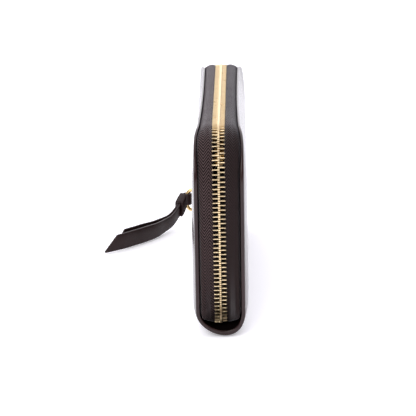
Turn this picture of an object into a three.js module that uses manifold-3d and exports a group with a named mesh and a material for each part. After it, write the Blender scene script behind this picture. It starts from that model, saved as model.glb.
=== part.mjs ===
// Zip-around wallet standing on its rounded spine. Millimetres, +Z up, X across the thickness, Y along
// the length. Origin: centre of the flat that the spine stands on. The zip runs from the bottom of the
// -Y end, over the top, down the +Y end, where its slider, ring and folded leather pull are.
import * as THREE from "three";
import { mergeVertices } from "three/addons/utils/BufferGeometryUtils.js";
import Module from "manifold-3d";

const wasm = await Module();
wasm.setup();

// Covers
const LENGTH = 195;
const HEIGHT = 105;
const HALF_THICKNESS = 14;
const CORNER_R = 25;
const LEATHER = 2.0;
const PINCH = 2.0; // how far each cover leans in at its top edge
const PINCH_START = 70;
const SPINE_CENTRE = 13.4; // height of the spine's centre line; the flat under it is 8.1 wide
const GAP = 0.3;

// Layers of one half, as depths of their outer faces below the cover's outer face
const BOARD_DEPTH = 2.3;
const BOARD = 0.8;
const LINING_DEPTH = 3.4;
const LINING = 0.6;
const LEAF_DEPTH = 4.3;
const LEAF_STEP = 0.8;
const LEAF = 0.5;
const LEAF_TOPS = [88, 80, 72];
const LEAF_BOTTOM = 16;

// Zip
const PITCH = 2.4;
const TOOTH = 1.15; // along the chain
const TOOTH_HALF_THICK = 1.2;
const TOOTH_TIP = 0.15;
const TOOTH_HEEL = 2.2;
const CHAIN_HALF = 3.2;
const TAPE_INNER = 3.5;
const TAPE_KNEE = 5.4;
const TAPE = 0.6;
const ZIP_CORNER_R = 24.2;
const CORNER_Y = 72.5;
const ZIP_CORNER_Z = 79.7;
const ZIP_START = new THREE.Vector2(-79.4, 3.6);
const ZIP_END = new THREE.Vector2(95.4, 14);
const SLIDER_BOTTOM = 17.5;
const SLIDER_LENGTH = 11;
const SLIDER_ZONE = SLIDER_BOTTOM + SLIDER_LENGTH + 1; // nothing of the front half is in the slider

const root = new THREE.Group();

function material(colour, roughness, metalness = 0) {
  return new THREE.MeshStandardMaterial({ color: colour, roughness, metalness });
}
const LOOKS = {
  leather: () => material(0x2c2628, 0.45),
  board: () => material(0x8a8178, 0.9),
  lining: () => material(0x3a3234, 0.8),
  tape: () => material(0x2a2324, 0.85),
  brass: () => material(0xd1a975, 0.3, 1),
};

function add(name, geometry, look) {
  const mesh = new THREE.Mesh(geometry, LOOKS[look]());
  mesh.name = name;
  root.add(mesh);
  return mesh;
}

function solid(geometry) {
  const g = geometry.clone();
  g.deleteAttribute("normal");
  g.deleteAttribute("uv");
  const merged = mergeVertices(g, 1e-4);
  return new wasm.Manifold(
    new wasm.Mesh({
      numProp: 3,
      vertProperties: new Float32Array(merged.attributes.position.array),
      triVerts: new Uint32Array(merged.index.array),
    }),
  );
}

function geometryOf(manifold) {
  const m = manifold.getMesh();
  const g = new THREE.BufferGeometry();
  const n = m.numProp;
  const v = new Float32Array(m.numVert * 3);
  for (let i = 0; i < m.numVert; i++) v.set(m.vertProperties.subarray(i * n, i * n + 3), i * 3);
  g.setAttribute("position", new THREE.BufferAttribute(v, 3));
  g.setIndex(new THREE.BufferAttribute(m.triVerts, 1));
  g.computeVertexNormals();
  return g;
}

const union = (...parts) => geometryOf(parts.map(solid).reduce((a, b) => a.add(b)));
const subtract = (a, ...cuts) => geometryOf(cuts.map(solid).reduce((m, c) => m.subtract(c), solid(a)));
const intersect = (a, b) => geometryOf(solid(a).intersect(solid(b)));

// A box from its two corners.
function box(x0, x1, y0, y1, z0, z1) {
  const g = new THREE.BoxGeometry(x1 - x0, y1 - y0, z1 - z0);
  return g.translate((x0 + x1) / 2, (y0 + y1) / 2, (z0 + z1) / 2);
}

// An outline in X and Z, drawn out along Y.
function alongY(shape, y0, y1, segments = 10) {
  const g = new THREE.ExtrudeGeometry(shape, {
    depth: y1 - y0,
    bevelEnabled: false,
    curveSegments: segments,
  });
  return g.rotateX(Math.PI / 2).translate(0, y1, 0);
}

// An outline in Y and Z, drawn out along X.
function alongX(shape, x0, x1, segments = 10) {
  const g = new THREE.ExtrudeGeometry(shape, {
    depth: x1 - x0,
    bevelEnabled: false,
    curveSegments: segments,
  });
  const turn = new THREE.Matrix4().makeBasis(
    new THREE.Vector3(0, 1, 0),
    new THREE.Vector3(0, 0, 1),
    new THREE.Vector3(1, 0, 0),
  );
  return g.applyMatrix4(turn).translate(x0, 0, 0);
}

// A closed mesh from four-sided faces, turned so that its faces point out.
function fromQuads(quads) {
  const p = [];
  quads.forEach(([a, b, c, d]) => p.push(...a, ...b, ...c, ...a, ...c, ...d));
  let volume = 0;
  for (let i = 0; i < p.length; i += 9) {
    const [ax, ay, az, bx, by, bz, cx, cy, cz] = p.slice(i, i + 9);
    volume += ax * (by * cz - bz * cy) + ay * (bz * cx - bx * cz) + az * (bx * cy - by * cx);
  }
  if (volume < 0) {
    for (let i = 0; i < p.length; i += 9) {
      const b = p.slice(i + 3, i + 6);
      for (let k = 0; k < 3; k++) {
        p[i + 3 + k] = p[i + 6 + k];
        p[i + 6 + k] = b[k];
      }
    }
  }
  const g = new THREE.BufferGeometry();
  g.setAttribute("position", new THREE.Float32BufferAttribute(p, 3));
  g.computeVertexNormals();
  return g;
}

// A solid through a row of four-cornered (or more) sections.
function loft(sections) {
  const quads = [];
  const n = sections[0].length;
  for (let i = 0; i + 1 < sections.length; i++) {
    for (let k = 0; k < n; k++) {
      const m = (k + 1) % n;
      quads.push([sections[i][k], sections[i][m], sections[i + 1][m], sections[i + 1][k]]);
    }
  }
  const cap = (s, flip) => {
    for (let k = 0; 2 * k + 2 < n; k++) {
      const q = [s[k], s[k + 1], s[n - 2 - k], s[n - 1 - k]];
      quads.push(flip ? q : q.reverse());
    }
  };
  cap(sections[0], false);
  cap(sections.at(-1), true);
  return fromQuads(quads);
}

// A closed sheet between two grids of points; its two faces share their diagonals.
function sheetBetween(upper, lower) {
  const quads = [];
  const r = upper.length - 1;
  const c = upper[0].length - 1;
  for (let i = 0; i < r; i++) {
    for (let j = 0; j < c; j++) {
      quads.push([upper[i][j], upper[i][j + 1], upper[i + 1][j + 1], upper[i + 1][j]]);
      quads.push([lower[i][j], lower[i + 1][j], lower[i + 1][j + 1], lower[i][j + 1]]);
    }
    quads.push([lower[i][0], upper[i][0], upper[i + 1][0], lower[i + 1][0]]);
    quads.push([upper[i][c], lower[i][c], lower[i + 1][c], upper[i + 1][c]]);
  }
  for (let j = 0; j < c; j++) {
    quads.push([lower[0][j], lower[0][j + 1], upper[0][j + 1], upper[0][j]]);
    quads.push([upper[r][j], upper[r][j + 1], lower[r][j + 1], lower[r][j]]);
  }
  return fromQuads(quads);
}

// ---- Covers and the flat layers inside them ----

// Outer face of a cover above the spine: straight, then leaning in towards the top.
function coverX(z) {
  const over = Math.max(0, z - PINCH_START) / (HEIGHT - PINCH_START);
  return HALF_THICKNESS - PINCH * over * over;
}

// Outline in X and Z of a layer of the +X half, from its depth and thickness.
function layerOutline(depth, thick, z0, z1) {
  const steps = [0, 0.35, 0.6, 0.8, 1];
  const heights = [z0];
  steps.forEach((t) => {
    const z = PINCH_START + t * (z1 - PINCH_START);
    if (z > z0) heights.push(z);
  });
  const outer = heights.map((z) => new THREE.Vector2(coverX(z) - depth, z));
  const inner = heights.map((z) => new THREE.Vector2(coverX(z) - depth - thick, z));
  return new THREE.Shape([...outer, ...inner.reverse()]);
}

// Side outline in Y and Z with two rounded upper corners.
function sideOutline(halfLength, bottom, top, radius) {
  const s = new THREE.Shape();
  s.moveTo(-halfLength, bottom);
  s.lineTo(halfLength, bottom);
  s.lineTo(halfLength, top - radius);
  s.absarc(halfLength - radius, top - radius, radius, 0, Math.PI / 2);
  s.lineTo(-halfLength + radius, top);
  s.absarc(-halfLength + radius, top - radius, radius, Math.PI / 2, Math.PI);
  s.lineTo(-halfLength, bottom);
  return s;
}

function layer(depth, thick, halfLength, bottom, top, radius) {
  const sheet = alongY(layerOutline(depth, thick, bottom, top), -halfLength, halfLength);
  return intersect(sheet, alongX(sideOutline(halfLength, bottom - 1, top, radius), 0, 20));
}

const mirror = (g) => {
  const m = g.index ? g.toNonIndexed() : g.clone();
  m.scale(-1, 1, 1);
  const p = m.attributes.position.array;
  for (let i = 0; i < p.length; i += 9) {
    for (let k = 0; k < 3; k++) [p[i + 3 + k], p[i + 6 + k]] = [p[i + 6 + k], p[i + 3 + k]];
  }
  m.computeVertexNormals();
  return m;
};

// A band of the spine between two angles, measured from straight down towards +X.
function spineBand(outerR, innerR, fromDeg, toDeg) {
  const from = THREE.MathUtils.degToRad(fromDeg - 90);
  const to = THREE.MathUtils.degToRad(toDeg - 90);
  const s = new THREE.Shape();
  s.absarc(0, SPINE_CENTRE, outerR, from, to, false);
  s.absarc(0, SPINE_CENTRE, innerR, to, from, true);
  s.closePath();
  return s;
}

const COVER_SIDE = alongX(sideOutline(LENGTH / 2, 0, HEIGHT, CORNER_R), -20, 20, 12);
const FOLD_ANGLE = 45; // where the front cover folds away from the spine
const INNER_R = HALF_THICKNESS - LEATHER;

function coverPanel() {
  return alongY(layerOutline(0, LEATHER, SPINE_CENTRE, HEIGHT), -LENGTH / 2, LENGTH / 2);
}

function spinePart(fromDeg, toDeg) {
  const band = spineBand(HALF_THICKNESS, INNER_R, fromDeg, toDeg);
  return alongY(band, -LENGTH / 2, LENGTH / 2, 14);
}

add(
  "back_cover",
  intersect(union(mirror(coverPanel()), spinePart(-90, FOLD_ANGLE - 0.7)), COVER_SIDE),
  "leather",
);
add(
  "front_cover",
  intersect(union(coverPanel(), spinePart(FOLD_ANGLE + 0.7, 90)), COVER_SIDE),
  "leather",
);

const liningBand = spineBand(INNER_R - GAP, INNER_R - GAP - LINING, -89, FOLD_ANGLE - 2);
add("spine_lining", alongY(liningBand, -76.5, 95, 12), "lining");

for (const [side, place] of [
  ["back", mirror],
  ["front", (g) => g],
]) {
  add(side + "_board", place(layer(BOARD_DEPTH, BOARD, 91, 14, 100, 21)), "board");
  add(side + "_lining", place(layer(LINING_DEPTH, LINING, 91, 14, 100, 21)), "lining");
  LEAF_TOPS.forEach((top, i) => {
    const leaf = layer(LEAF_DEPTH + i * LEAF_STEP, LEAF, 80, LEAF_BOTTOM, top, 2);
    add(side + "_card_leaf_" + (i + 1), place(leaf), "leather");
  });
}

// ---- Zip ----

// The middle line of the chain, in Y and Z.
const zipPath = new THREE.CurvePath();
const startArc = new THREE.Vector2(-CORNER_Y - ZIP_CORNER_R, ZIP_CORNER_Z);
const endArc = new THREE.Vector2(CORNER_Y + ZIP_CORNER_R, ZIP_CORNER_Z);
const zipTop = ZIP_CORNER_Z + ZIP_CORNER_R;
zipPath.add(
  new THREE.CubicBezierCurve(
    ZIP_START,
    ZIP_START.clone().add(new THREE.Vector2(-11.2, 6.2)),
    new THREE.Vector2(startArc.x, 46),
    startArc,
  ),
);
zipPath.add(
  new THREE.EllipseCurve(-CORNER_Y, ZIP_CORNER_Z, ZIP_CORNER_R, ZIP_CORNER_R, Math.PI, Math.PI / 2, true),
);
zipPath.add(
  new THREE.LineCurve(new THREE.Vector2(-CORNER_Y, zipTop), new THREE.Vector2(CORNER_Y, zipTop)),
);
zipPath.add(
  new THREE.EllipseCurve(CORNER_Y, ZIP_CORNER_Z, ZIP_CORNER_R, ZIP_CORNER_R, Math.PI / 2, 0, true),
);
zipPath.add(new THREE.LineCurve(endArc, ZIP_END));
const ZIP_LENGTH = zipPath.getLength();

// Point and outward normal of the chain, s millimetres from its start.
function zipFrame(s) {
  const t = THREE.MathUtils.clamp(s / ZIP_LENGTH, 0, 1);
  const point = zipPath.getPoint(t);
  const tangent = zipPath.getTangent(t);
  return { y: point.x, z: point.y, ty: tangent.x, tz: tangent.y, ny: -tangent.y, nz: tangent.x };
}

// One row of teeth on its cord. Each tooth is a block; the cord joins them.
function teethRow(sign, offset, endTrim) {
  const H = TOOTH_HALF_THICK;
  const quads = [];
  const at = (f, x, h) => [sign * x, f.y + f.ny * h, f.z + f.nz * h];
  const heel = (f, h) => at(f, TOOTH_HEEL, h);
  const cord = (f) => [at(f, CHAIN_HALF, -H), at(f, CHAIN_HALF, H), heel(f, H), heel(f, -H)];
  const tooth = (f) => [heel(f, H), at(f, TOOTH_TIP, H), at(f, TOOTH_TIP, -H), heel(f, -H)];
  let s = 0;
  let frame = zipFrame(0);
  quads.push(cord(frame).reverse());
  const advance = (length, isTooth) => {
    const next = zipFrame(s + length);
    const [a, b, c, d] = cord(frame);
    const [e, f, g, h] = cord(next);
    quads.push([a, b, f, e], [b, c, g, f], [d, a, e, h]);
    const [i, j, k, l] = tooth(frame);
    const [m, n, o, p] = tooth(next);
    if (isTooth) {
      quads.push(tooth(frame).reverse(), tooth(next));
      quads.push([i, j, n, m], [j, k, o, n], [k, l, p, o]);
    } else {
      quads.push([c, d, h, g]);
    }
    s += length;
    frame = next;
  };
  if (offset > 0) advance(offset, false);
  while (s + PITCH <= ZIP_LENGTH - endTrim) {
    advance(TOOTH, true);
    advance(PITCH - TOOTH, false);
  }
  quads.push(cord(frame));
  return fromQuads(quads);
}

add("zip_teeth_back", teethRow(-1, 0, 3.5), "brass");
add("zip_teeth_front", teethRow(1, PITCH / 2, SLIDER_ZONE - ZIP_END.y), "brass");

// Inner face of the lining at a height: the outer edge of the tapes lies against it.
function tapeEdgeX(z) {
  if (z >= SPINE_CENTRE) return coverX(z) - LEATHER - GAP;
  const r = INNER_R - 2 * GAP - LINING;
  return Math.sqrt(r * r - (SPINE_CENTRE - z) ** 2);
}

// Where the tape's outer edge is sewn: a line just inside the cover's outline.
function tapeEdge(frame) {
  const inset = 1.4;
  if (Math.abs(frame.y) > CORNER_Y && frame.z > ZIP_CORNER_Z) {
    const angle = Math.atan2(frame.z - ZIP_CORNER_Z, Math.abs(frame.y) - CORNER_Y);
    const r = CORNER_R - inset;
    const y = CORNER_Y + r * Math.cos(angle);
    return [Math.sign(frame.y) * y, HEIGHT - CORNER_R + r * Math.sin(angle)];
  }
  if (frame.z > ZIP_CORNER_Z) return [frame.y, HEIGHT - inset];
  const z = frame.z < 14 ? 9.5 + (frame.z - ZIP_START.y) * 0.43 : frame.z;
  return [Math.sign(frame.y) * (LENGTH / 2 - inset), z];
}

// Middle lines of a tape, s millimetres along the chain: beside the teeth, at its knee, at its outer edge.
function tapeLines(s, sign, clear) {
  const f = zipFrame(s);
  const [ey, ez] = tapeEdge(f);
  const inner = clear ? TAPE_KNEE - 0.3 : TAPE_INNER;
  const knee = clear ? TAPE_KNEE + 0.8 : TAPE_KNEE;
  return [
    new THREE.Vector3(sign * inner, f.y, f.z),
    new THREE.Vector3(sign * knee, f.y, f.z),
    new THREE.Vector3(sign * (tapeEdgeX(ez) - GAP), ey, ez),
  ];
}

// The front tape stands clear of the slider's place; the tape has the same thickness everywhere.
function tape(sign, front) {
  const stops = [0, 2, 4, 7, 10, 14, 20, 30, 42, 54, 66, 78];
  const bend = Math.PI * 0.5 * ZIP_CORNER_R;
  const cornerStart = zipPath.getCurveLengths()[0];
  for (let i = 0; i <= 8; i++) stops.push(cornerStart + (bend * i) / 8);
  const topLength = 2 * CORNER_Y;
  stops.push(cornerStart + bend + topLength / 2);
  for (let i = 0; i <= 8; i++) stops.push(cornerStart + bend + topLength + (bend * i) / 8);
  const zone = ZIP_LENGTH - (SLIDER_ZONE - ZIP_END.y);
  stops.push(zone - 0.5, zone + 0.1, ZIP_LENGTH);
  const lines = stops
    .filter((s, i) => i < 1 || s - stops[i - 1] > 0.05)
    .map((s) => tapeLines(s, sign, front && s > zone));
  const upper = [];
  const lower = [];
  lines.forEach(([inner, knee, edge], i) => {
    const before = lines[Math.max(i - 1, 0)];
    const after = lines[Math.min(i + 1, lines.length - 1)];
    const normal = (a, b, column) => {
      const along = after[column].clone().sub(before[column]);
      return b.clone().sub(a).cross(along).multiplyScalar(sign).normalize();
    };
    const flat = normal(inner, knee, 0);
    const sloped = normal(knee, edge, 2);
    const between = flat.clone().add(sloped).normalize();
    between.divideScalar(Math.max(between.dot(flat), 0.6));
    const at = (p, n, k) => p.clone().addScaledVector(n, (k * TAPE) / 2).toArray();
    upper.push([at(inner, flat, 1), at(knee, between, 1), at(edge, sloped, 1)]);
    lower.push([at(inner, flat, -1), at(knee, between, -1), at(edge, sloped, -1)]);
  });
  return sheetBetween(upper, lower);
}

add("zip_tape_back", tape(-1, false), "tape");
add("zip_tape_front", tape(1, true), "tape");

// A block across the chain, from one distance along it to another (past either end is allowed).
function chainBlock(x0, x1, s0, s1, h0, h1) {
  const base = s0 < ZIP_LENGTH / 2 ? 0 : ZIP_LENGTH;
  const f = zipFrame(base);
  const at = (x, s, h) => [x, f.y + f.ty * (s - base) + f.ny * h, f.z + f.tz * (s - base) + f.nz * h];
  const section = (s) => [at(x0, s, h0), at(x1, s, h0), at(x1, s, h1), at(x0, s, h1)];
  return loft([section(s0), section(s1)]);
}

add("zip_start_stop", chainBlock(-3.2, 3.2, -1.8, -0.4, -1.3, 0.9), "brass");
add(
  "zip_end_stop",
  chainBlock(-3.2, -0.15, ZIP_LENGTH - 2.6, ZIP_LENGTH - 0.2, -1.3, 1.3),
  "brass",
);

// ---- Slider, ring and leather pull ----

const sliderLow = ZIP_LENGTH - (SLIDER_BOTTOM - ZIP_END.y);
const sliderHigh = sliderLow - SLIDER_LENGTH;
const SLIDER_HALF = 4.7;
const PLATE_IN = 1.6;
const PLATE_OUT = 2.7;

// One plate of the slider with its two side flanges; side is 1 outside the wallet, -1 inside it.
function sliderPlate(side) {
  const block = (x0, x1, h0, h1) =>
    chainBlock(x0, x1, sliderHigh, sliderLow, Math.min(side * h0, side * h1), Math.max(side * h0, side * h1));
  return [
    block(-SLIDER_HALF, SLIDER_HALF, PLATE_IN, PLATE_OUT),
    block(-SLIDER_HALF, -SLIDER_HALF + 0.8, 0.8, PLATE_IN + 0.1),
    block(SLIDER_HALF - 0.8, SLIDER_HALF, 0.8, PLATE_IN + 0.1),
  ];
}

const bridgeMid = (sliderLow + sliderHigh) / 2;
add("slider_inner_plate", union(...sliderPlate(-1)), "brass");
add(
  "slider_outer_plate",
  union(
    ...sliderPlate(1),
    chainBlock(-0.9, 0.9, bridgeMid - 5.3, bridgeMid - 4.2, PLATE_OUT - 0.1, 6.2),
    chainBlock(-0.9, 0.9, bridgeMid + 4.2, bridgeMid + 5.3, PLATE_OUT - 0.1, 6.2),
    chainBlock(-0.9, 0.9, bridgeMid - 5.3, bridgeMid + 5.3, 6.1, 7.2),
  ),
  "brass",
);

// The pull ring is a long loop in an upright plane: round at the slider, square at the leather pull.
const bridge = zipFrame(bridgeMid);
const RING_Y = bridge.y + 4.4;
const RING_Z = 16;
const RING_HALF = 6.4;
const RING_WIRE = 0.9;
const RING_CORNER = 3.2;
const LOOP_X = -22.4;

function ringPath() {
  const points = [];
  const arc = (x, z, r, from, to, steps) => {
    for (let i = 0; i <= steps; i++) {
      const a = THREE.MathUtils.degToRad(from + ((to - from) * i) / steps);
      points.push([x + r * Math.cos(a), z + r * Math.sin(a), Math.cos(a), Math.sin(a)]);
    }
  };
  const inner = RING_HALF - RING_CORNER;
  arc(-3, RING_Z, RING_HALF, -90, 90, 14);
  arc(LOOP_X + RING_CORNER, RING_Z + inner, RING_CORNER, 90, 180, 6);
  arc(LOOP_X + RING_CORNER, RING_Z - inner, RING_CORNER, 180, 270, 6);
  return points;
}

function ring() {
  const around = 8;
  const sections = ringPath().map(([x, z, nx, nz]) => {
    const section = [];
    for (let k = 0; k < around; k++) {
      const a = (2 * Math.PI * (k + 0.5)) / around;
      const out = RING_WIRE * Math.cos(a);
      section.push([x + nx * out, RING_Y + RING_WIRE * Math.sin(a), z + nz * out]);
    }
    return section;
  });
  const quads = [];
  sections.forEach((section, i) => {
    const next = sections[(i + 1) % sections.length];
    for (let k = 0; k < around; k++) {
      const m = (k + 1) % around;
      quads.push([section[k], section[m], next[m], next[k]]);
    }
  });
  return fromQuads(quads);
}
add("pull_ring", ring(), "brass");

// The pull stands on edge: a folded strip whose loop holds the ring, falling to the floor as it leaves.
// It is narrow at the ring and widens towards its tails.
const LOOP_HEIGHT = 7;
const LOOP_Z = 13.3;
const STRAP_HEIGHT = 9.6;
const STRAP_REST = 0.3;
const PLY = 1.4;
const strapLine = new THREE.CatmullRomCurve3(
  [
    new THREE.Vector3(LOOP_X - 2.1, RING_Y, LOOP_Z - 0.3),
    new THREE.Vector3(LOOP_X - 5.9, RING_Y - 3.4, LOOP_Z - 5.2),
    new THREE.Vector3(LOOP_X - 9.9, RING_Y - 11.6, 3.6),
    new THREE.Vector3(LOOP_X - 14.2, RING_Y - 19, 1.4),
    new THREE.Vector3(LOOP_X - 18.6, RING_Y - 26.6, 0.5),
    new THREE.Vector3(LOOP_X - 24.9, RING_Y - 34.9, STRAP_REST),
    new THREE.Vector3(LOOP_X - 31, RING_Y - 41.3, STRAP_REST),
    new THREE.Vector3(LOOP_X - 38.1, RING_Y - 48.5, STRAP_REST),
    new THREE.Vector3(LOOP_X - 47.6, RING_Y - 55.8, STRAP_REST),
  ],
  false,
  "centripetal",
);
const WIDENING = STRAP_HEIGHT - LOOP_HEIGHT;
const strapHeight = (t) => LOOP_HEIGHT + WIDENING * THREE.MathUtils.smoothstep(t, 0.14, 0.6);

// Section of the strip at t: from offset a to offset b across it, height cut by low and high.
function strapSection(t, a, b, low, high) {
  const p = strapLine.getPointAt(t);
  const d = strapLine.getTangentAt(t);
  const n = new THREE.Vector2(-d.y, d.x).normalize();
  const at = (o, z) => [p.x + n.x * o, p.y + n.y * o, p.z + z];
  return [at(a, low), at(b, low), at(b, high), at(a, high)];
}

// One tail of the strip, spread sideways as it goes. Its free end is cut slantwise, longest at the floor.
function tail(a, b, end, spread) {
  const sections = [];
  const steps = 30;
  const slant = 0.11;
  const aside = (t) => spread * THREE.MathUtils.smoothstep(t, 0.1, 0.6);
  for (let i = 0; i <= steps; i++) {
    const t = (end - slant) * (i / steps);
    sections.push(strapSection(t, a + aside(t), b + aside(t), 0, strapHeight(t)));
  }
  sections.push(strapSection(end, a + aside(end), b + aside(end), 0, 0.5));
  return loft(sections);
}

function strapLoop() {
  const outer = new THREE.Shape();
  outer.absarc(LOOP_X, RING_Y, 2.9, 0, Math.PI * 2);
  const hole = new THREE.Path();
  hole.absarc(LOOP_X, RING_Y, 1.5, 0, Math.PI * 2);
  outer.holes.push(hole);
  const g = new THREE.ExtrudeGeometry(outer, {
    depth: LOOP_HEIGHT,
    bevelEnabled: false,
    curveSegments: 14,
  });
  return g.translate(0, 0, LOOP_Z);
}

add("pull_strap", union(strapLoop(), tail(-PLY, 0.02, 0.84, -4.2), tail(-0.02, PLY, 1, 0)), "leather");

// The keeper closes round both plies next to the ring.
function sleeve(stations, reach, low, high) {
  return loft(stations.map((t) => strapSection(t, -reach, reach, low, high)));
}
add(
  "strap_keeper",
  subtract(
    sleeve([0.028, 0.04, 0.045, 0.06, 0.075, 0.09], PLY + 1.3, -1.3, LOOP_HEIGHT + 1.3),
    sleeve([0, 0.016, 0.03, 0.045, 0.06, 0.075, 0.09, 0.11], PLY + 0.3, -0.3, LOOP_HEIGHT + 0.3),
  ),
  "leather",
);

// ---- Middle coin pocket and the end gussets ----

const POCKET_OUT = 2.6;
const POCKET_IN = 2.1;
const POCKET_TOP = 80;
const POCKET_END = 78;
add(
  "coin_pocket",
  subtract(
    box(-POCKET_OUT, POCKET_OUT, -POCKET_END, POCKET_END, LEAF_BOTTOM, POCKET_TOP),
    box(-POCKET_IN, POCKET_IN, -POCKET_END + 0.5, POCKET_END - 0.5, LEAF_BOTTOM + 0.6, POCKET_TOP + 1),
  ),
  "lining",
);
for (const [side, sign] of [
  ["back", -1],
  ["front", 1],
]) {
  const span = (x0, x1, y0, y1, z0, z1) =>
    box(Math.min(sign * x0, sign * x1), Math.max(sign * x0, sign * x1), y0, y1, z0, z1);
  add("coin_tape_" + side, span(1.3, 1.8, -76, 76, 72, 83.2), "tape");
  add("coin_coil_" + side, span(0.15, 1.9, -74, 74, 83.5, 85.3), "brass");
}
add("coin_stop_near", box(-1.9, 1.9, -75.8, -74.3, 83.5, 85.3), "brass");
add("coin_stop_far", box(-1.9, 1.9, 74.3, 75.8, 83.5, 85.3), "brass");

const COIN_SLIDER_Y = -66;
add(
  "coin_slider",
  union(
    box(-3.2, 3.2, COIN_SLIDER_Y - 4, COIN_SLIDER_Y + 4, 85.7, 86.8),
    box(-3.2, -2.3, COIN_SLIDER_Y - 4, COIN_SLIDER_Y + 4, 81, 86),
    box(2.3, 3.2, COIN_SLIDER_Y - 4, COIN_SLIDER_Y + 4, 81, 86),
    box(-1, 1, COIN_SLIDER_Y - 3, COIN_SLIDER_Y - 2.1, 86.7, 89.6),
    box(-1, 1, COIN_SLIDER_Y + 2.1, COIN_SLIDER_Y + 3, 86.7, 89.6),
    box(-1, 1, COIN_SLIDER_Y - 3, COIN_SLIDER_Y + 3, 89, 90),
  ),
  "brass",
);
const TAB_Y = COIN_SLIDER_Y + 0.6;
add(
  "coin_pull_tab",
  subtract(
    box(-2.6, 2.6, TAB_Y - 0.6, TAB_Y + 12, 87.2, 88.4),
    box(-1.4, 1.4, TAB_Y + 0.6, TAB_Y + 5.4, 86, 90),
  ),
  "brass",
);

// Accordion gusset across one end, folded like a shallow W.
function gusset(sign) {
  const line = [
    [-9.7, 87],
    [-6.2, 82.2],
    [-3.2, 86.9],
    [3.2, 86.9],
    [6.2, 82.2],
    [9.7, 87],
  ];
  const half = 0.25;
  const up = line.map(([x, y]) => new THREE.Vector2(x, y + half));
  const down = line.map(([x, y]) => new THREE.Vector2(x, y - half));
  const shape = new THREE.Shape([...down, ...up.reverse()]);
  const g = new THREE.ExtrudeGeometry(shape, { depth: 58, bevelEnabled: false });
  g.translate(0, 0, 25);
  return sign > 0 ? g : g.rotateZ(Math.PI);
}
add("gusset_near", gusset(-1), "lining");
add("gusset_far", gusset(1), "lining");

export default root;
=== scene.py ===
"""Visual model of the zip-around wallet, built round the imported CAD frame.

Shapes are worked out in millimetres, and mesh_object turns them into metres.
"""

import math
import bmesh
import bpy
import numpy as np
from mathutils import Matrix, Vector


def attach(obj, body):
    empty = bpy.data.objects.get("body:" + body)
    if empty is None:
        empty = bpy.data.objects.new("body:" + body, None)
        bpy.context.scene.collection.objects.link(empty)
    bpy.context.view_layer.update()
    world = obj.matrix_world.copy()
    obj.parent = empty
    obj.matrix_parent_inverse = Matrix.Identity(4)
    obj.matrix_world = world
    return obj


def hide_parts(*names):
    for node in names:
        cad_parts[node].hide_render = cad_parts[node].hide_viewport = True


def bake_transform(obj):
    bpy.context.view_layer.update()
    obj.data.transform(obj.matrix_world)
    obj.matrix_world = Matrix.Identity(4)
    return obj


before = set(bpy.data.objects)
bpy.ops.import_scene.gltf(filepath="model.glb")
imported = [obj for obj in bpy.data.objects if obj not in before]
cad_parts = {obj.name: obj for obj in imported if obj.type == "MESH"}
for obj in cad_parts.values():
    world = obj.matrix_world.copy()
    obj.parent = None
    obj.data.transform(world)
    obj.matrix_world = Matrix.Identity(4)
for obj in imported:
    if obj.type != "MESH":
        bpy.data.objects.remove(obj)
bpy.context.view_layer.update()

MM = 0.001
HALF_LENGTH = 97.5
HEIGHT = 104.9  # top edge of the leather; the zip stands a little higher
RIM = 12.5  # half width of the outline at the ends
TOP_RIM = 10.1  # and in the middle of the long top edge
CORNER_R = 25.0  # upper corners, seen from the side
CORNER_Y = HALF_LENGTH - CORNER_R
SPINE_Z = 13.4  # centre line of the round spine
LEATHER = 1.9
PARED = 0.8  # how much thinner the leather is along the top edge
FLARE = 0.7  # how much thinner at the upper corners
PITCH = 2.4  # from one tooth to the next in one row
rng = np.random.default_rng(7)


# ---------- mesh helpers (millimetres in, metres out) ----------

def mesh_object(name, verts, faces, smooth=True):
    mesh = bpy.data.meshes.new(name)
    points = [tuple(np.asarray(v, float) * MM) for v in verts]
    mesh.from_pydata(points, [], [tuple(int(i) for i in f) for f in faces])
    mesh.validate()
    mesh.update()
    if smooth:
        mesh.polygons.foreach_set("use_smooth", [True] * len(mesh.polygons))
    obj = bpy.data.objects.new(name, mesh)
    bpy.context.scene.collection.objects.link(obj)
    return obj


def grid(name, pts, close_u=False, close_v=False, caps=False, uv=None):
    """A surface through a rows x columns x 3 array of points."""
    pts = np.asarray(pts, float)
    nu, nv = pts.shape[:2]
    faces = []
    for i in range(nu if close_u else nu - 1):
        for j in range(nv if close_v else nv - 1):
            a, b = i * nv + j, i * nv + (j + 1) % nv
            c, d = ((i + 1) % nu) * nv + (j + 1) % nv, ((i + 1) % nu) * nv + j
            faces.append((a, b, c, d))
    if caps:
        faces.append(tuple(range(nv))[::-1])
        faces.append(tuple((nu - 1) * nv + j for j in range(nv)))
    obj = mesh_object(name, pts.reshape(-1, 3), faces)
    if uv is not None:
        uv = np.asarray(uv, float).reshape(-1, 2)
        layer = obj.data.uv_layers.new(name="UVMap")
        for loop in obj.data.loops:
            layer.data[loop.index].uv = uv[loop.vertex_index]
    fix_normals(obj)
    return obj


def fix_normals(obj):
    """Turn every face outwards."""
    bm = bmesh.new()
    bm.from_mesh(obj.data)
    bmesh.ops.recalc_face_normals(bm, faces=bm.faces)
    bm.to_mesh(obj.data)
    bm.free()


def join(name, parts):
    """Make one object of several."""
    for o in bpy.context.selected_objects:
        o.select_set(False)
    for o in parts:
        o.select_set(True)
    bpy.context.view_layer.objects.active = parts[0]
    bpy.ops.object.join()
    parts[0].name = name
    parts[0].data.name = name
    parts[0].select_set(False)
    return parts[0]


def apply(obj, kind, **values):
    """Add a modifier with these settings and apply it."""
    mod = obj.modifiers.new(kind, kind)
    for key, value in values.items():
        setattr(mod, key, value)
    bpy.context.view_layer.objects.active = obj
    obj.select_set(True)
    bpy.ops.object.modifier_apply(modifier=mod.name)
    obj.select_set(False)


def smoothstep(t):
    t = np.clip(t, 0, 1)
    return t * t * (3 - 2 * t)


# ---------- materials ----------

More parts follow.
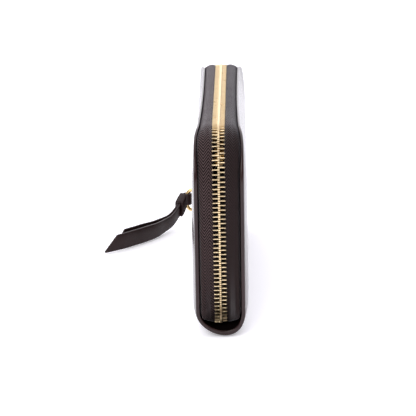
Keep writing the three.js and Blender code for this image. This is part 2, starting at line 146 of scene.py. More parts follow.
class Nodes:
    """A new material, with short ways to add nodes and set its shader."""

    def __init__(self, name):
        self.material = bpy.data.materials.new(name)
        self.material.use_nodes = True
        self.tree = self.material.node_tree
        self.shader = self.tree.nodes["Principled BSDF"]

    def add(self, kind, inputs=None, **settings):
        node = self.tree.nodes.new(kind)
        for key, value in settings.items():
            setattr(node, key, value)
        for key, value in (inputs or {}).items():
            if isinstance(value, bpy.types.NodeSocket):
                self.tree.links.new(value, node.inputs[key])
            else:
                node.inputs[key].default_value = value
        return node

    def set(self, **inputs):
        for key, value in inputs.items():
            socket = self.shader.inputs[key.replace("_", " ")]
            if isinstance(value, bpy.types.NodeSocket):
                self.tree.links.new(value, socket)
            else:
                socket.default_value = value

    def ramp(self, value, stops):
        node = self.add("ShaderNodeValToRGB", {"Fac": value})
        ramp = node.color_ramp
        while len(ramp.elements) < len(stops):
            ramp.elements.new(0.5)
        for element, (at, colour) in zip(ramp.elements, stops):
            element.position = at
            element.color = (*colour, 1)
        return node.outputs["Color"]

    def span(self, value, low, high, a=0.0, b=1.0):
        """value from a to b becomes low to high."""
        limits = {"From Min": a, "From Max": b, "To Min": low, "To Max": high}
        node = self.add("ShaderNodeMapRange", {"Value": value, **limits})
        return node.outputs["Result"]

    def bump(self, height, strength, distance, normal=None):
        inputs = {"Height": height, "Strength": strength, "Distance": distance}
        if normal is not None:
            inputs["Normal"] = normal
        return self.add("ShaderNodeBump", inputs).outputs["Normal"]


def leather(name, dark, light, roughness, grain=0.7, coat=0.0, strength=0.25, specular=0.3):
    """Pebbled leather. grain is the width of a pebble in millimetres, strength how deep it looks."""
    m = Nodes(name)
    place = m.add("ShaderNodeTexCoord").outputs["Object"]
    pebbles = {"Vector": place, "Scale": 1000 / grain}
    cells = m.add("ShaderNodeTexVoronoi", pebbles, feature="DISTANCE_TO_EDGE")
    fine = m.add("ShaderNodeTexNoise", {"Vector": place, "Scale": 2600.0, "Detail": 4.0})
    broad = m.add("ShaderNodeTexNoise", {"Vector": place, "Scale": 38.0, "Detail": 5.0, "Roughness": 0.6})
    pebble = m.span(cells.outputs["Distance"], 0.0, 1.0, 0.0, 0.22)
    colour = m.ramp(broad.outputs["Fac"], [(0.3, dark), (0.72, light)])
    first = m.bump(pebble, strength, 0.00012)
    second = m.bump(fine.outputs["Fac"], strength * 0.5, 0.00005, first)
    m.set(Base_Color=colour, Normal=second)
    m.set(Roughness=m.span(broad.outputs["Fac"], roughness - 0.05, roughness + 0.07, 0.3, 0.7))
    m.set(Specular_IOR_Level=specular)
    if coat:
        m.set(Coat_Weight=coat, Coat_Normal=m.bump(pebble, strength * 0.35, 0.00008))
        m.shader.inputs["Coat Roughness"].default_value = 0.14
        m.shader.inputs["Coat IOR"].default_value = 1.42
    return m.material


def tape_weave(name, dark, light):
    """Herringbone: diagonal yarns that turn back at each column. UV is in millimetres across and along."""
    column, slope, yarn = 2.6, 1.45, 1.7
    m = Nodes(name)
    uv = m.add("ShaderNodeTexCoord").outputs["UV"]
    part = m.add("ShaderNodeSeparateXYZ", {"Vector": uv})

    def math_node(op, a, b=0.0):
        return m.add("ShaderNodeMath", {0: a, 1: b}, operation=op).outputs[0]

    across = math_node("PINGPONG", math_node("ADD", part.outputs["X"], 0.2), column)
    slant = math_node("ADD", part.outputs["Y"], math_node("MULTIPLY", across, slope))
    wave = math_node("SINE", math_node("MULTIPLY", slant, 2 * math.pi / yarn))
    ridge = m.span(wave, 0.0, 1.0, -0.6, 0.6)
    place = m.add("ShaderNodeTexCoord").outputs["Object"]
    fibre = m.add("ShaderNodeTexNoise", {"Vector": place, "Scale": 2400.0, "Detail": 3.0})
    broad = m.add("ShaderNodeTexNoise", {"Vector": place, "Scale": 110.0, "Detail": 3.0})
    fuzz = math_node("MULTIPLY", fibre.outputs["Fac"], 0.35)
    mixed = math_node("ADD", math_node("MULTIPLY", ridge, 0.75), fuzz)
    worn = math_node("ADD", mixed, math_node("MULTIPLY", broad.outputs["Fac"], 0.3))
    colour = m.ramp(worn, [(0.40, dark), (0.92, light)])
    # The front half's tape is darker, which stands in for the light in the photograph.
    side = m.add("ShaderNodeSeparateXYZ", {"Vector": place}).outputs["X"]
    shade = m.span(side, 0.78, 0.38, -0.004, 0.004)
    colour = m.add("ShaderNodeVectorMath", {0: colour, "Scale": shade}, operation="SCALE").outputs[0]
    first = m.bump(ridge, 0.7, 0.0003)
    m.set(Base_Color=colour, Normal=m.bump(fibre.outputs["Fac"], 0.3, 0.00005, first))
    m.set(Roughness=m.span(broad.outputs["Fac"], 0.5, 0.62, 0.3, 0.7), Specular_IOR_Level=0.06)
    m.shader.inputs["Sheen Weight"].default_value = 0.3
    m.shader.inputs["Sheen Roughness"].default_value = 0.3
    m.shader.inputs["Sheen Tint"].default_value = (0.93, 0.93, 1.0, 1)
    return m.material


def metal(name, colour, tint, roughness):
    m = Nodes(name)
    place = m.add("ShaderNodeTexCoord").outputs["Object"]
    broad = m.add("ShaderNodeTexNoise", {"Vector": place, "Scale": 300.0, "Detail": 4.0})
    fine = m.add("ShaderNodeTexNoise", {"Vector": place, "Scale": 5000.0, "Detail": 2.0})
    m.set(Base_Color=m.ramp(broad.outputs["Fac"], [(0.35, tint), (0.6, colour)]))
    m.set(Roughness=m.span(broad.outputs["Fac"], roughness - 0.04, roughness + 0.08, 0.3, 0.7))
    m.set(Normal=m.bump(fine.outputs["Fac"], 0.05, 0.00002))
    m.shader.inputs["Metallic"].default_value = 1.0
    return m.material


def cloth(name, dark, light):
    """Plain weave."""
    thread = 0.0006
    m = Nodes(name)
    place = m.add("ShaderNodeTexCoord").outputs["Object"]
    part = m.add("ShaderNodeSeparateXYZ", {"Vector": place})

    def wave(axis):
        turns = {0: part.outputs[axis], 1: 2 * math.pi / thread}
        phase = m.add("ShaderNodeMath", turns, operation="MULTIPLY").outputs[0]
        return m.add("ShaderNodeMath", {0: phase}, operation="SINE").outputs[0]

    weave = m.add("ShaderNodeMath", {0: wave("Y"), 1: wave("Z")}, operation="MULTIPLY").outputs[0]
    fibre = m.add("ShaderNodeTexNoise", {"Vector": place, "Scale": 1800.0, "Detail": 3.0})
    m.set(Base_Color=m.ramp(fibre.outputs["Fac"], [(0.35, dark), (0.7, light)]))
    m.set(Normal=m.bump(m.span(weave, 0.0, 1.0, -1.0, 1.0), 0.3, 0.0001), Roughness=0.8)
    m.shader.inputs["Sheen Weight"].default_value = 0.08
    return m.material


def paperboard(name):
    m = Nodes(name)
    place = m.add("ShaderNodeTexCoord").outputs["Object"]
    fibre = m.add("ShaderNodeTexNoise", {"Vector": place, "Scale": 700.0, "Detail": 6.0})
    grey = m.ramp(fibre.outputs["Fac"], [(0.35, (0.30, 0.27, 0.23)), (0.7, (0.45, 0.41, 0.36))])
    m.set(Base_Color=grey)
    m.set(Normal=m.bump(fibre.outputs["Fac"], 0.3, 0.0001), Roughness=0.9)
    return m.material


COVER = leather(
    "cover_leather", (0.014, 0.0030, 0.0028), (0.022, 0.0062, 0.0062), 0.5,
    grain=1.0, coat=0.8, strength=0.3, specular=0.1)
STRAP = leather(
    "strap_leather", (0.014, 0.0042, 0.0036), (0.021, 0.0080, 0.0075), 0.55,
    grain=1.0, coat=0.25, strength=0.4, specular=0.2)
POCKET = leather("pocket_leather", (0.026, 0.019, 0.020), (0.042, 0.032, 0.034), 0.42, strength=0.18)
# The inner side of the cover is near black: painted shade for the dark hollow inside the spine.
INSIDE_PAINTED_SHADE = leather(
    "leather_inside_painted_shade", (0.003, 0.0015, 0.0015), (0.006, 0.004, 0.004), 0.9,
    strength=0.1, specular=0.0)
LINING = cloth("lining_fabric", (0.012, 0.008, 0.0085), (0.026, 0.019, 0.020))
TAPE = tape_weave("zip_tape", (0.0045, 0.0012, 0.0010), (0.100, 0.067, 0.067))
BRASS = metal("zip_brass", (0.75, 0.60, 0.38), (0.70, 0.55, 0.34), 0.3)
GOLD = metal("gold_metal", (0.80, 0.58, 0.28), (0.70, 0.48, 0.20), 0.16)
BOARD = paperboard("board")


def finish_piece(obj, material, body, slot, *nodes):
    """Give a piece its material and body, and hide the CAD nodes it replaces; slot is not used.

    body is a body's name; anything else, such as the two points in metres where the piece would bend from
    the back half to the front half, leaves the piece unattached with its transform baked in.
    """
    obj.data.materials.clear()
    obj.data.materials.append(material)
    if isinstance(body, str):
        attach(obj, body)
    else:
        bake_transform(obj)
    if nodes:
        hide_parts(*nodes)


# ---------- covers: one sheet of leather from one top edge round the spine to the other ----------

def rim_distance(y, z):
    """How far inside the cover's side outline a point is."""
    ay = abs(y)
    if ay > CORNER_Y and z > HEIGHT - CORNER_R:
        return CORNER_R - math.hypot(ay - CORNER_Y, z - HEIGHT + CORNER_R)
    return min(HALF_LENGTH - ay, HEIGHT - z)


def drawn_in(y, z):
    """1 along the long top edge, 0 at the ends and lower down."""
    return smoothstep((z - 76) / 26) * (1 - smoothstep((abs(y) - 70) / 18))


def base_x(y, z):
    """Half width of the outline: the long top edge draws in, the ends stay wide."""
    top = TOP_RIM + (0.9 if y < 0 else 0.4) * (y / CORNER_Y) ** 2
    return RIM + (top - RIM) * drawn_in(y, z)


def leather_at(y, z):
    """The leather is pared thinner along the top edge."""
    return LEATHER - PARED * drawn_in(y, z)


def bulge(e, side=1, z=50.0):
    """Padding of the faces; the back half is flatter along the top."""
    full = 1.9 if side > 0 else 2.2 * (1 - 0.6 * smoothstep((z - 72) / 24))
    return full * (1 - math.exp(-max(e, 0) / 9.0))


def corner_flare(y, z):
    """1 halfway round an upper corner of the outline, 0 away from it."""
    a = math.degrees(math.atan2(max(z - HEIGHT + CORNER_R, 0), max(abs(y) - CORNER_Y, 0.01)))
    return math.exp(-((a - 48) / 24) ** 2) if z > HEIGHT - CORNER_R and abs(y) > CORNER_Y else 0.0


def rim_thickness(e, full, radius=0.8):
    """Thickness of the leather at e from its rounded edge, up to full."""
    t = 1 - min(max(e, 0) / radius, 1)
    return full * (1 - t ** 2.6) ** (1 / 2.6)


def groove_x(y, z):
    """Inner face of the leather at its outline."""
    return base_x(y, z) - leather_at(y, z) + FLARE * corner_flare(y, z)


# Distances of the cover's rows and columns from its outline, closest together where its edge is rounded.
NEAR_RIM = [0, 0.03, 0.12, 0.3, 0.55, 0.8, 1.4, 2.4, 4, 6.5, 10, 15, 20]
FACE_ROWS = 7
COVER_BEND = ((0.002, 0, 0), (0.009, 0, 0))
EDGE_BAND = 1.6  # the inner side keeps the outer leather this close to the edge


def columns():
    """Every y of the cover's points, from the far end to the near end."""
    side = [HALF_LENGTH - e for e in NEAR_RIM] + [CORNER_Y]
    middle = list(np.linspace(CORNER_Y, -CORNER_Y, 15))[1:-1]
    return side + middle + [-y for y in reversed(side)]


def top_at(y):
    """Height of the outline, which has a round corner at each end."""
    ay = abs(y)
    if ay <= CORNER_Y:
        return HEIGHT
    return HEIGHT - CORNER_R + math.sqrt(max(0, CORNER_R ** 2 - (ay - CORNER_Y) ** 2))


def cover_sheet():
    """Outer and inner side of both faces and the spine, closed into one sheet."""
    angles = np.linspace(-90, 90, 41)[1:-1]
    outer, inner = [], []
    for y in columns():
        top = top_at(y)
        heights = [top - e for e in NEAR_RIM if top - e > 62]
        heights += list(np.linspace(58, SPINE_Z + 0.6, FACE_ROWS))
        while len(heights) < len(NEAR_RIM) + FACE_ROWS:
            heights.insert(-FACE_ROWS, heights[-FACE_ROWS - 1] - 0.01)
        e_end = HALF_LENGTH - abs(y)
        out, inn = [], []
        for side in (-1, 1):
            for z in heights if side < 0 else heights[::-1]:
                e = rim_distance(y, z)
                full = leather_at(y, z) - FLARE * corner_flare(y, z) * math.exp(-e / 3)
                mid = base_x(y, z) + bulge(e, side, z) - full / 2
                t = rim_thickness(e, full) / 2
                out.append((side * (mid + t), y, z))
                inn.append((side * (mid - t), y, z))
            if side < 0:
                centre = SPINE_Z - 0.5 * math.exp(-max(e_end, 0) / 6.0)
                back, front = bulge(e_end, -1), bulge(e_end, 1)
                for a in np.radians(angles):
                    r = RIM + back + (front - back) * (math.sin(a) + 1) / 2
                    full = LEATHER + 0.8 * math.cos(a) ** 2 * math.exp(-e_end / 3)
                    t = rim_thickness(e_end, full) / 2
                    mid = r - full / 2
                    lean = 2.4 * math.cos(a) ** 2 * math.exp(-e_end / 10) if y < 0 else 0
                    x, z = (mid + t) * math.sin(a), centre - (mid + t) * math.cos(a)
                    out.append((x + lean, y, max(0.0, z)))
                    x, z = (mid - t) * math.sin(a), centre - (mid - t) * math.cos(a)
                    inn.append((x + lean, y, max(0.25, z)))
        outer.append(out)
        inner.append(inn)
    closed = np.concatenate([np.array(outer), np.array(inner)[:, ::-1]], axis=1)
    return grid("cover_leather_sheet", closed, close_v=True)


cover = cover_sheet()
apply(cover, "WELD", merge_threshold=2e-6)
finish_piece(cover, COVER, COVER_BEND, "cover_leather", "back_cover", "front_cover")
# Inner faces away from the edge get the near-black material, painted shade for the hollow inside the spine.
cover.data.materials.append(INSIDE_PAINTED_SHADE)
for face in cover.data.polygons:
    c, n = face.center / MM, face.normal
    out = Vector((c.x, 0, min(c.z - SPINE_Z, 0)))
    if n.dot(out) < 0 and rim_distance(c.y, c.z) > EDGE_BAND:
        face.material_index = 1


# ---------- accordion gussets, joining the two halves inside each end ----------

GUSSET_BEND = ((-0.0097, 0, 0), (0.0097, 0, 0))


def gusset(name, side, bottom):
    """Pleated cloth across one end, narrower near the spine. side is -1 at the near end."""
    half_cloth = 0.22
    pleats = np.array([(-9.7, 87.0), (-6.2, 82.2), (-3.2, 86.9), (3.2, 86.9), (6.2, 82.2), (9.7, 87.0)])
    corners = range(len(pleats))
    steps = np.linspace(0, len(pleats) - 1, 31)
    dense = list(zip(np.interp(steps, corners, pleats[:, 0]), np.interp(steps, corners, pleats[:, 1])))
    top, under = [], []
    for z in np.linspace(bottom, 83, 16):
        narrow = 0.72 + 0.28 * smoothstep((z - 6) / 10)
        top.append([(side * x * narrow, side * (y + half_cloth), z) for x, y in dense])
        under.append([(side * x * narrow, side * (y - half_cloth), z) for x, y in dense[::-1]])
    return grid(name, np.concatenate([np.array(top), np.array(under)], axis=1), close_v=True, caps=True)


finish_piece(gusset("gusset_near_fan", -1, 13.5), LINING, GUSSET_BEND, "lining_fabric", "gusset_near")
finish_piece(gusset("gusset_far_fan", 1, 7.5), LINING, GUSSET_BEND, "lining_fabric", "gusset_far")


# ---------- zip path ----------

def bezier(a, b, c, d, n):
    """n points of the cubic curve from a to d."""
    t = np.linspace(0, 1, n)[:, None]
    return (1 - t) ** 3 * a + 3 * (1 - t) ** 2 * t * b + 3 * (1 - t) * t ** 2 * c + t ** 3 * d


ZIP_R, ZIP_CZ = 24.2, 79.7  # radius round the upper corners, and height of their centres
TOP_RISE = 1.1
CHAIN_EDGE = 2.9  # where the tape starts beside the teeth
ROW_END = 3.0  # how far the teeth end before the path does
TAPE_INSET = 1.0
TAPE_THICKNESS = 0.5


def zip_polyline():
    """Centre line (y, z) of the chain: up the near end, along the top, down the far end."""
    start = np.array([-83.4, 3.2])
    arc0 = np.array([-CORNER_Y - ZIP_R, ZIP_CZ])
    first = bezier(start, start + np.array([-8.4, 6.2]), np.array([arc0[0], 46.0]), arc0, 160)
    a = np.linspace(math.pi, math.pi / 2, 120)[1:]
    near = np.stack([-CORNER_Y + ZIP_R * np.cos(a), ZIP_CZ + ZIP_R * np.sin(a)], 1)
    line = np.stack([np.linspace(-CORNER_Y, CORNER_Y, 200)[1:], np.full(199, ZIP_CZ + ZIP_R)], 1)
    far = np.stack([-near[::-1, 0], near[::-1, 1]], 1)[1:]
    down = np.linspace([CORNER_Y + ZIP_R, ZIP_CZ], [95.4, 14.0], 100)
    whole = np.concatenate([first, near, line, far, down])
    whole[:, 1] += TOP_RISE * smoothstep((whole[:, 1] - 82) / 20)
    return whole


class Zip:
    """The chain's centre line, measured along its length s."""

    reach = 0.6  # half the length over which the direction is taken
    line = zip_polyline()
    seg = np.linalg.norm(np.diff(line, axis=0), axis=1)
    s = np.concatenate([[0], np.cumsum(seg)])
    length = s[-1]

    @classmethod
    def at(cls, s):
        """Point (y, z), tangent and outward normal."""
        p = np.array([np.interp(s, cls.s, cls.line[:, k]) for k in (0, 1)])
        q = np.array([np.interp(s + cls.reach, cls.s, cls.line[:, k]) for k in (0, 1)])
        o = np.array([np.interp(s - cls.reach, cls.s, cls.line[:, k]) for k in (0, 1)])
        t = (q - o) / np.linalg.norm(q - o)
        n = np.array([-t[1], t[0]])
        return p, t, n


def edge_point(p):
    """Where the tape meets the leather, (x, y, z), for a chain point p = (y, z)."""
    y, z = p
    if abs(y) > CORNER_Y and z > ZIP_CZ:
        a = math.atan2(z - ZIP_CZ, abs(y) - CORNER_Y)
        r = CORNER_R - TAPE_INSET
        ey, ez = math.copysign(CORNER_Y + r * math.cos(a), y), HEIGHT - CORNER_R + r * math.sin(a)
    elif z > ZIP_CZ:
        ey, ez = y, HEIGHT - TAPE_INSET
    else:
        ey, ez = math.copysign(HALF_LENGTH - TAPE_INSET, y), z
        if y < 0 and z < 14:
            ez = 9.5 + (z - 3.6) * 0.43
    if ez >= SPINE_Z:
        ex = groove_x(ey, ez)
    else:
        r = RIM - LEATHER
        ex = math.sqrt(max(4.0, r * r - (12.6 - ez) ** 2))
    return np.array([ex, ey, ez])


def tape_sheet(name, side):
    """Flat beside the teeth, then dipping into the crease along the leather."""
    stations = np.arange(0, Zip.length + 0.1, Zip.length / 190)
    across = np.array([0, 0.06, 0.14, 0.24, 0.36, 0.48, 0.6, 0.7, 0.78, 0.85, 0.9, 0.94, 0.97, 0.99, 1.0])
    top, bottom, uv_top, uv_bottom = [], [], [], []
    for s in stations:
        p, _, n = Zip.at(s)
        edge = edge_point(p)
        on_top = smoothstep((p[1] - 90) / 14.0)
        row_t, row_b, uv = [], [], []
        for q in across:
            x = CHAIN_EDGE + (edge[0] - CHAIN_EDGE) * q
            g = smoothstep(q)
            yz = p * (1 - g) + edge[1:] * g
            arch = (0.35 + 1.0 * on_top) * math.sin(math.pi * min(q * 1.05, 1)) ** 0.7
            dip = (1.6 * on_top - 2.6) * smoothstep((q - 0.86) / 0.14)
            h = 0.15 + arch + dip
            row_t.append((side * x, *(yz + n * h)))
            row_b.append((side * x, *(yz + n * (h - TAPE_THICKNESS))))
            uv.append((x, s))
        top.append(row_t)
        bottom.append(row_b[::-1])
        uv_top.append(uv)
        uv_bottom.append(uv[::-1])
    pts = np.concatenate([np.array(top), np.array(bottom)], axis=1)
    uv = np.concatenate([np.array(uv_top), np.array(uv_bottom)], axis=1)
    return grid(name, pts, close_v=True, caps=True, uv=uv)


finish_piece(tape_sheet("tape_back", -1), TAPE, "back_half", "zip_tape", "zip_tape_back")
finish_piece(tape_sheet("tape_front", 1), TAPE, "front_half", "zip_tape", "zip_tape_front")


# ---------- zip teeth ----------

def tooth_shape():
    """One tooth as rings, each from (x outwards, half length along the chain, half thickness).

    The head is at negative x.
    """
    rings = [
        (3.30, 0.20, 0.75), (3.22, 0.31, 0.95), (2.95, 0.36, 1.05), (1.20, 0.36, 1.00),
        (0.75, 0.42, 1.02), (0.60, 0.58, 1.30), (0.45, 0.61, 1.40), (-0.40, 0.61, 1.40), (-0.52, 0.52, 1.28),
        (-0.60, 0.34, 0.9),
    ]
    around = [(1, 0.35), (0.74, 0.86), (0.3, 1), (-0.3, 1), (-0.74, 0.86), (-1, 0.35),
              (-1, -0.35), (-0.74, -0.86), (-0.3, -1), (0.3, -1), (0.74, -0.86), (1, -0.35)]
    return np.array([[(x, a * ca, b * cb) for ca, cb in around] for x, a, b in rings])


def teeth(name, side, offset):
    """A row of teeth along the chain, each leaning by a random hair."""
    shape = tooth_shape()
    verts, faces = [], []
    s = offset + 0.6
    while s < Zip.length - ROW_END:
        p, t, n = Zip.at(s)
        base = len(verts)
        lean = rng.normal(0, 0.012)
        for ring in shape:
            for x, a, h in ring:
                yz = p + t * (a + lean * x) + n * h
                verts.append((side * x, yz[0], yz[1]))
        k = shape.shape[1]
        for i in range(len(shape) - 1):
            here, there = base + i * k, base + (i + 1) * k
            for j in range(k):
                following = (j + 1) % k
                faces.append((here + j, here + following, there + following, there + j))
        faces.append(tuple(base + j for j in range(k))[::-1])
        faces.append(tuple(base + (len(shape) - 1) * k + j for j in range(k)))
        s += PITCH
    obj = mesh_object(name, verts, faces, smooth=False)
    fix_normals(obj)
    return obj


finish_piece(teeth("teeth_back", -1, 0), BRASS, "back_half", "zip_brass", "zip_teeth_back")
finish_piece(teeth("teeth_front", 1, PITCH / 2), BRASS, "front_half", "zip_brass", "zip_teeth_front")


# ---------- pull ring and leather pull ----------

RING_Y, RING_Z = 99.978, 16.0
RING_HALF, RING_WIRE, RING_CORNER = 6.4, 1.1, 3.2
SLIDER_THINNING = 0.22
LOOP_X = -22.4


def ring_path():
    """Centre (x, z) and outward direction round the long loop."""
    def arc(x, z, r, a0, a1, n):
        ways = [(math.cos(a), math.sin(a)) for a in np.radians(np.linspace(a0, a1, n))]
        return [(x + r * nx, z + r * nz, nx, nz) for nx, nz in ways]

    inner = RING_HALF - RING_CORNER
    left = LOOP_X + RING_CORNER
    return (arc(-3.0, RING_Z, RING_HALF, -90, 90, 29) + arc(left, RING_Z + inner, RING_CORNER, 90, 180, 13)
            + arc(left, RING_Z - inner, RING_CORNER, 180, 270, 13))


def ring_mesh():
    """Round wire, a little thinner where it runs through the slider."""
    pts = []
    for x, z, nx, nz in ring_path():
        r = RING_WIRE - SLIDER_THINNING * smoothstep((x + 12) / 6)
        pts.append([(x + nx * r * math.cos(b), RING_Y + r * math.sin(b), z + nz * r * math.cos(b))
                    for b in np.linspace(0, 2 * math.pi, 17)[:-1]])
    return grid("ring", pts, close_u=True, close_v=True)


finish_piece(ring_mesh(), GOLD, "pull_ring", "gold_metal", "pull_ring")

LOOP_H, LOOP_Z, STRAP_H = 7.0, 13.3, 9.6
LOOP_R = 2.2
PLY_HALF, PLY_OFFSET = 0.66, 0.72
STATIONS = 81
strap_points = np.array([
    [LOOP_X - 2.1, RING_Y, LOOP_Z - 0.3], [LOOP_X - 5.0, RING_Y - 3.4, LOOP_Z - 5.2],
    [LOOP_X - 9.6, RING_Y - 11.6, 3.1], [LOOP_X - 14.2, RING_Y - 19, 1.4],
    [LOOP_X - 18.6, RING_Y - 26.6, 0.5],
    [LOOP_X - 24.9, RING_Y - 34.9, 0.3], [LOOP_X - 31, RING_Y - 41.3, 0.3],
    [LOOP_X - 38.1, RING_Y - 48.5, 0.3], [LOOP_X - 47.6, RING_Y - 55.8, 0.3]])


def strap_height(t):
    """Height of the pull's strip, which widens from its loop to its tail."""
    return LOOP_H + (STRAP_H - LOOP_H) * smoothstep((t - 0.14) / 0.46)


def mix(a, b, ta, tb, t):
    """The point at t on the straight line that is a at ta and b at tb."""
    return a * (tb - t) / (tb - ta) + b * (t - ta) / (tb - ta)


def spline(points, n):
    """A smooth line through points, evenly spaced, by centripetal Catmull-Rom."""
    p = np.concatenate([[2 * points[0] - points[1]], points, [2 * points[-1] - points[-2]]])
    out = []
    for i in range(1, len(p) - 2):
        k = [0.0]
        for a, b in zip(p[i - 1:i + 2], p[i:i + 3]):
            k.append(k[-1] + np.linalg.norm(b - a) ** 0.5)
        for t in np.linspace(k[1], k[2], 24, endpoint=i == len(p) - 3):
            a1, a2, a3 = (mix(p[i - 1 + j], p[i + j], k[j], k[j + 1], t) for j in range(3))
            b1, b2 = mix(a1, a2, k[0], k[2], t), mix(a2, a3, k[1], k[3], t)
            out.append(mix(b1, b2, k[1], k[2], t))
    out = np.array(out)
    s = np.concatenate([[0], np.cumsum(np.linalg.norm(np.diff(out, axis=0), axis=1))])
    even = np.linspace(0, s[-1], n)
    return np.stack([np.interp(even, s, out[:, j]) for j in range(3)], 1)


STRAP_LINE = spline(strap_points, STATIONS)


def strap_point(k):
    """Point of the pull's centre line at station k, which may fall between two stations."""
    return np.array([np.interp(k, np.arange(STATIONS), STRAP_LINE[:, j]) for j in range(3)])


def strap_frame(t):
    """Centre of the pull and its sideways direction, t from 0 at the loop to 1 at the tail."""
    i = t * (STATIONS - 1)
    d = strap_point(min(i + 1, STATIONS - 1)) - strap_point(max(i - 1, 0))
    n = np.array([-d[1], d[0], 0])
    return strap_point(i), n / np.linalg.norm(n)


def ribbon_section(centre, normal, half, low, high, r=0.55):
    """Rounded upright section of a strip, as a ring of points."""
    pts = []
    for corner, (sx, sz) in enumerate([(1, -1), (1, 1), (-1, 1), (-1, -1)]):
        for a in np.linspace(0, math.pi / 2, 5):
            angle = a + (-math.pi / 2, 0, math.pi / 2, math.pi)[corner]
            o = sx * (half - r) + r * math.cos(angle)
            z = (high - r if sz > 0 else low + r) + r * math.sin(angle)
            pts.append(centre + normal * o + np.array([0, 0, z]))
    return pts


def tail(name, side, end, slant, spread):
    """One ply, cut off at a slant. end and slant are fractions of the centre line."""
    sections = []
    for t in np.linspace(0, 1, 90):
        u = t * end
        c, n = strap_frame(u)
        off = side * PLY_OFFSET + spread * smoothstep((u - 0.1) / 0.5)
        over = max(0.0, (u - (end - slant)) / slant)
        full = strap_height(u)
        top = full - (full - 1.1) * over
        sections.append(ribbon_section(c + n * off, n, PLY_HALF, 0, top, r=0.4))
    return grid(name, sections, close_v=True, caps=True)


def loop_mesh():
    """The turn of the pull round the ring."""
    sections = []
    for a in np.radians(np.linspace(24, 336, 48)):
        direction = np.array([-math.cos(a), math.sin(a), 0])
        c = np.array([LOOP_X, RING_Y, LOOP_Z]) + direction * LOOP_R
        sections.append(ribbon_section(c, direction, PLY_HALF, 0, LOOP_H, r=0.4))
    return grid("strap_loop", sections, close_v=True, caps=True)


rear = tail("tail_rear", -1, 0.84, 0.09, -4.2)
front = tail("tail_front", 1, 1.0, 0.115, 0.0)
strap = join("strap_pull", [rear, front, loop_mesh()])
finish_piece(strap, STRAP, "pull_strap", "strap_leather", "pull_strap")


def keeper_mesh():
    """A sleeve round both plies: outside, then back through the inside."""
    stations = np.linspace(0.012, 0.094, 11)
    swell = 0.25 * np.sin(np.linspace(0, math.pi, 11))
    outside, inside = [], []
    for t, w in zip(stations, swell):
        c, n = strap_frame(t)
        outside.append(ribbon_section(c, n, 2.75 + w, -1.1 - w, LOOP_H + 1.2 + w, r=1.0))
        inside.append(ribbon_section(c, n, 1.6, -0.15, LOOP_H + 0.15, r=0.5))
    return grid("keeper", outside + inside[::-1], close_u=True, close_v=True)


finish_piece(keeper_mesh(), STRAP, "pull_strap", "strap_leather", "strap_keeper")


# ---------- pieces that keep their CAD shape ----------

LEAVES = [f"{half}_card_leaf_{i}" for half in ("back", "front") for i in (1, 2, 3)]
COIN_ZIP = ["coin_coil_back", "coin_coil_front", "coin_stop_near", "coin_stop_far"]
KEPT = [
    (BOARD, ["back_board", "front_board"]),
    (LINING, ["spine_lining", "coin_tape_back", "coin_tape_front"]),
    (POCKET, ["back_lining", "front_lining", "coin_pocket"] + LEAVES),
    (BRASS, ["zip_start_stop", "zip_end_stop"] + COIN_ZIP),
    (GOLD, ["coin_slider", "coin_pull_tab", "slider_outer_plate", "slider_inner_plate"]),
]
for material, names in KEPT:
    for name in names:
        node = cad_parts[name]
        node.data.materials.clear()
        node.data.materials.append(material)


# ---------- floor, light, camera ----------

FRONT_LIGHT, BACK_LIGHT = 0.07, 2.0  # strength of the sky in front of the wallet and behind it
KEY_LIGHT, OVERHEAD_LIGHT = 9.5, 2.5  # watts


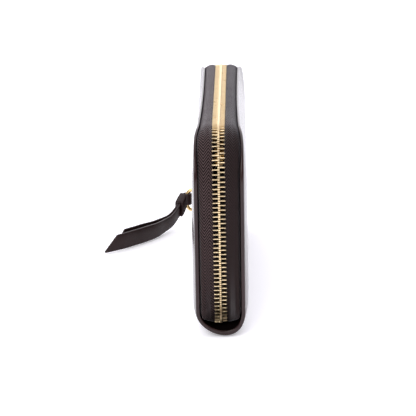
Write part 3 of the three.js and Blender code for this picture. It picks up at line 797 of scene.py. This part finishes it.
def studio():
    """White floor, a sky that is bright behind and above and dim in front, and two area lamps."""
    m = Nodes("floor_white")
    place = m.add("ShaderNodeTexCoord").outputs["Object"]
    haze = m.add("ShaderNodeTexNoise", {"Vector": place, "Scale": 3.0})
    white = m.ramp(haze.outputs["Fac"], [(0.3, (0.955, 0.95, 0.985)), (0.7, (0.965, 0.96, 0.99))])
    m.set(Base_Color=white, Roughness=0.95, Specular_IOR_Level=0.0)
    # The emission stands in for the photograph's overexposed background.
    m.set(Emission_Color=(0.98, 0.975, 1.0, 1), Emission_Strength=0.27)
    bpy.ops.mesh.primitive_plane_add(size=12, location=(0, 2, -0.0004))
    floor = bpy.context.object
    floor.name = "floor"
    floor.data.materials.append(m.material)
    world = bpy.data.worlds.new("studio")
    world.use_nodes = True
    tree = world.node_tree
    direction = tree.nodes.new("ShaderNodeTexCoord").outputs["Generated"]
    dot = tree.nodes.new("ShaderNodeVectorMath")
    dot.operation = "DOT_PRODUCT"
    dot.inputs[1].default_value = (0.0, 0.85, 0.53)
    tree.links.new(direction, dot.inputs[0])
    span = tree.nodes.new("ShaderNodeMapRange")
    span.interpolation_type = "SMOOTHSTEP"
    limits = {"From Min": -0.25, "From Max": 0.85, "To Min": FRONT_LIGHT, "To Max": BACK_LIGHT}
    for key, value in limits.items():
        span.inputs[key].default_value = value
    tree.links.new(dot.outputs["Value"], span.inputs["Value"])
    background = tree.nodes["Background"]
    background.inputs["Color"].default_value = (0.965, 0.955, 1.0, 1)
    tree.links.new(span.outputs["Result"], background.inputs["Strength"])
    bpy.context.scene.world = world
    for name, where, aim, size, power in (
        ("key", (-0.45, -1.0, 0.8), (0, -0.05, 0.05), 0.8, KEY_LIGHT),
        ("overhead", (0, 0.1, 1.6), (0, 0, 0), 1.6, OVERHEAD_LIGHT),
    ):
        data = bpy.data.lights.new(name, "AREA")
        data.size = size
        data.energy = power
        lamp = bpy.data.objects.new(name, data)
        lamp.location = where
        lamp.rotation_euler = (Vector(aim) - Vector(where)).to_track_quat("-Z", "Y").to_euler()
        bpy.context.scene.collection.objects.link(lamp)


def camera():
    """The photograph's viewpoint, as estimated."""
    data = bpy.data.cameras.new("camera")
    data.sensor_width = 36
    data.lens = 152.8
    data.clip_start = 0.01
    cam = bpy.data.objects.new("camera", data)
    pitch, yaw, roll = (math.radians(v) for v in (16.38, 1.225, 1.006))
    tilt = Matrix.Rotation(math.pi / 2 - pitch, 4, "X")
    turn = Matrix.Rotation(yaw, 4, "Z") @ tilt @ Matrix.Rotation(-roll, 4, "Z")
    cam.matrix_world = Matrix.Translation((0.01262, -0.9475, 0.3186)) @ turn
    bpy.context.scene.collection.objects.link(cam)
    bpy.context.scene.camera = cam


studio()
camera()
scene = bpy.context.scene
scene.view_settings.view_transform = "Standard"
scene.view_settings.look = "None"
